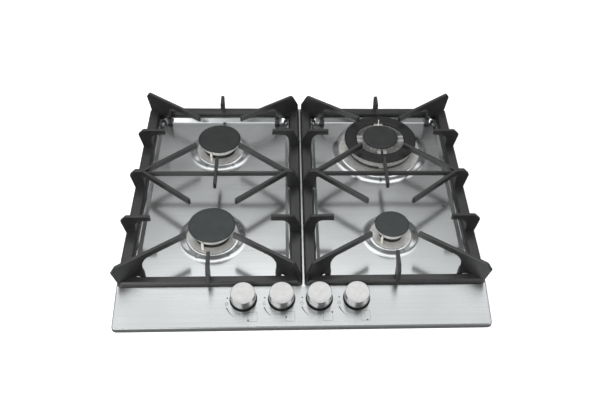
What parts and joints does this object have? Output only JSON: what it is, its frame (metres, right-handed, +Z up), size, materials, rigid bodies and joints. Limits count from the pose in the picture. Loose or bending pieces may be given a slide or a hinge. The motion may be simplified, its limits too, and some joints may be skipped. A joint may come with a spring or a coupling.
{
  "type": "gas cooktop",
  "caption": "Built-in stainless steel gas cooktop with front knobs, cast-iron pan supports, plain burners and a two-ring wok burner",
  "frame": {"origin": "middle of the worktop cut-out, on the worktop's top face", "axes": "+X right, +Y to the back, +Z up, seen from the user's side"},
  "size_m": [0.5986, 0.525, 0.117],
  "materials": {
    "stainless": "brushed stainless sheet, satin",
    "galvanised": "zinc-coated sheet",
    "foam": "closed-cell foam strip",
    "screw": "zinc-plated steel",
    "alu_tube": "drawn aluminium tube",
    "brass": "machined brass",
    "cast_alu": "die-cast aluminium",
    "crown_alu": "bright turned aluminium",
    "black_plastic": "moulded plastic",
    "black_rubber": "matt rubber",
    "ceramic": "glazed ceramic with a steel tip",
    "probe_steel": "steel sheath",
    "cast_iron": "black matt enamelled cast iron",
    "enamel": "dark matt enamel",
    "knob_metal": "satin face with a polished side"
  },
  "bodies": {
    "cooktop": {"top_sheet": "stainless", "foam_seal": "foam", "underbox": "galvanised", "underbox_screws": "screw", "clamp_brackets": "galvanised", "clamp_screws": "screw", "gas_rail": "alu_tube", "inlet_union": "brass", "rail_brackets": "cast_alu", "ignition_switches": "black_plastic", "injectors": "brass", "cup_nuts": "screw", "spark_electrodes": "ceramic", "flame_probes": "probe_steel", "ignition_module": "black_plastic", "terminal_block": "black_plastic", "supply_grommet": "black_rubber", "tap_body_1": "brass", "knob_seal_1": "black_rubber", "tap_body_2": "brass", "knob_seal_2": "black_rubber", "tap_body_3": "brass", "knob_seal_3": "black_rubber", "tap_body_4": "brass", "knob_seal_4": "black_rubber", "feed_tube_fl": "alu_tube", "burner_cup_fl": "cast_alu", "feed_tube_rl": "alu_tube", "burner_cup_rl": "cast_alu", "feed_tube_rr": "alu_tube", "burner_cup_rr": "cast_alu", "feed_tube_fr": "alu_tube", "burner_cup_fr": "cast_alu"},
    "plug_1": {"tap_plug_1": "brass"},
    "control_1": {"knob_1": "knob_metal", "spindle_1": "screw"},
    "plug_2": {"tap_plug_2": "brass"},
    "control_2": {"knob_2": "knob_metal", "spindle_2": "screw"},
    "plug_3": {"tap_plug_3": "brass"},
    "control_3": {"knob_3": "knob_metal", "spindle_3": "screw"},
    "plug_4": {"tap_plug_4": "brass"},
    "control_4": {"knob_4": "knob_metal", "spindle_4": "screw"},
    "crown_fl": {"crown_fl": "crown_alu"},
    "cap_fl": {"cap_fl": "enamel"},
    "crown_rl": {"crown_rl": "crown_alu"},
    "cap_rl": {"cap_rl": "enamel"},
    "crown_fr": {"crown_fr": "crown_alu"},
    "cap_fr": {"cap_fr": "enamel"},
    "crown_rr": {"crown_rr": "crown_alu"},
    "ring_cap_rr": {"cap_rr_ring": "enamel"},
    "centre_cap_rr": {"cap_rr_centre": "enamel"},
    "support_left": {"grate_left": "cast_iron", "grate_feet_left": "black_rubber"},
    "support_right": {"grate_right": "cast_iron", "grate_feet_right": "black_rubber"}
  },
  "joints": [
    {"name": "knob_turn_1", "type": "hinge", "parent": "cooktop", "child": "plug_1", "pos_m": [-0.095, -0.21582, 0.02066], "axis": [0, -0.2326, 0.9726], "range_deg": [0, 90]},
    {"name": "knob_push_1", "type": "slide", "parent": "plug_1", "child": "control_1", "axis": [0, 0.2326, -0.9726], "range_m": [0, 0.003], "stiffness_N_per_m": 500, "springref_m": -0.004},
    {"name": "knob_turn_2", "type": "hinge", "parent": "cooktop", "child": "plug_2", "pos_m": [-0.035, -0.21582, 0.02066], "axis": [0, -0.2326, 0.9726], "range_deg": [0, 90]},
    {"name": "knob_push_2", "type": "slide", "parent": "plug_2", "child": "control_2", "axis": [0, 0.2326, -0.9726], "range_m": [0, 0.003], "stiffness_N_per_m": 500, "springref_m": -0.004},
    {"name": "knob_turn_3", "type": "hinge", "parent": "cooktop", "child": "plug_3", "pos_m": [0.0245, -0.21582, 0.02066], "axis": [0, -0.2326, 0.9726], "range_deg": [0, 90]},
    {"name": "knob_push_3", "type": "slide", "parent": "plug_3", "child": "control_3", "axis": [0, 0.2326, -0.9726], "range_m": [0, 0.003], "stiffness_N_per_m": 500, "springref_m": -0.004},
    {"name": "knob_turn_4", "type": "hinge", "parent": "cooktop", "child": "plug_4", "pos_m": [0.0835, -0.21582, 0.02066], "axis": [0, -0.2326, 0.9726], "range_deg": [0, 90]},
    {"name": "knob_push_4", "type": "slide", "parent": "plug_4", "child": "control_4", "axis": [0, 0.2326, -0.9726], "range_m": [0, 0.003], "stiffness_N_per_m": 500, "springref_m": -0.004},
    {"name": "crown_lift_fl", "type": "slide", "parent": "cooktop", "child": "crown_fl", "axis": [0, 0, 1], "range_m": [0, 0.012]},
    {"name": "cap_lift_fl", "type": "slide", "parent": "crown_fl", "child": "cap_fl", "axis": [0, 0, 1], "range_m": [0, 0.03]},
    {"name": "crown_lift_rl", "type": "slide", "parent": "cooktop", "child": "crown_rl", "axis": [0, 0, 1], "range_m": [0, 0.012]},
    {"name": "cap_lift_rl", "type": "slide", "parent": "crown_rl", "child": "cap_rl", "axis": [0, 0, 1], "range_m": [0, 0.03]},
    {"name": "crown_lift_fr", "type": "slide", "parent": "cooktop", "child": "crown_fr", "axis": [0, 0, 1], "range_m": [0, 0.012]},
    {"name": "cap_lift_fr", "type": "slide", "parent": "crown_fr", "child": "cap_fr", "axis": [0, 0, 1], "range_m": [0, 0.03]},
    {"name": "crown_lift_rr", "type": "slide", "parent": "cooktop", "child": "crown_rr", "axis": [0, 0, 1], "range_m": [0, 0.004]},
    {"name": "ring_cap_lift_rr", "type": "slide", "parent": "crown_rr", "child": "ring_cap_rr", "axis": [0, 0, 1], "range_m": [0, 0.004]},
    {"name": "centre_cap_lift_rr", "type": "slide", "parent": "crown_rr", "child": "centre_cap_rr", "axis": [0, 0, 1], "range_m": [0, 0.03]},
    {"name": "support_lift_left", "type": "slide", "parent": "cooktop", "child": "support_left", "axis": [0, 0, 1], "range_m": [0, 0.1]},
    {"name": "support_lift_right", "type": "slide", "parent": "cooktop", "child": "support_right", "axis": [0, 0, 1], "range_m": [0, 0.1]}
  ]
}
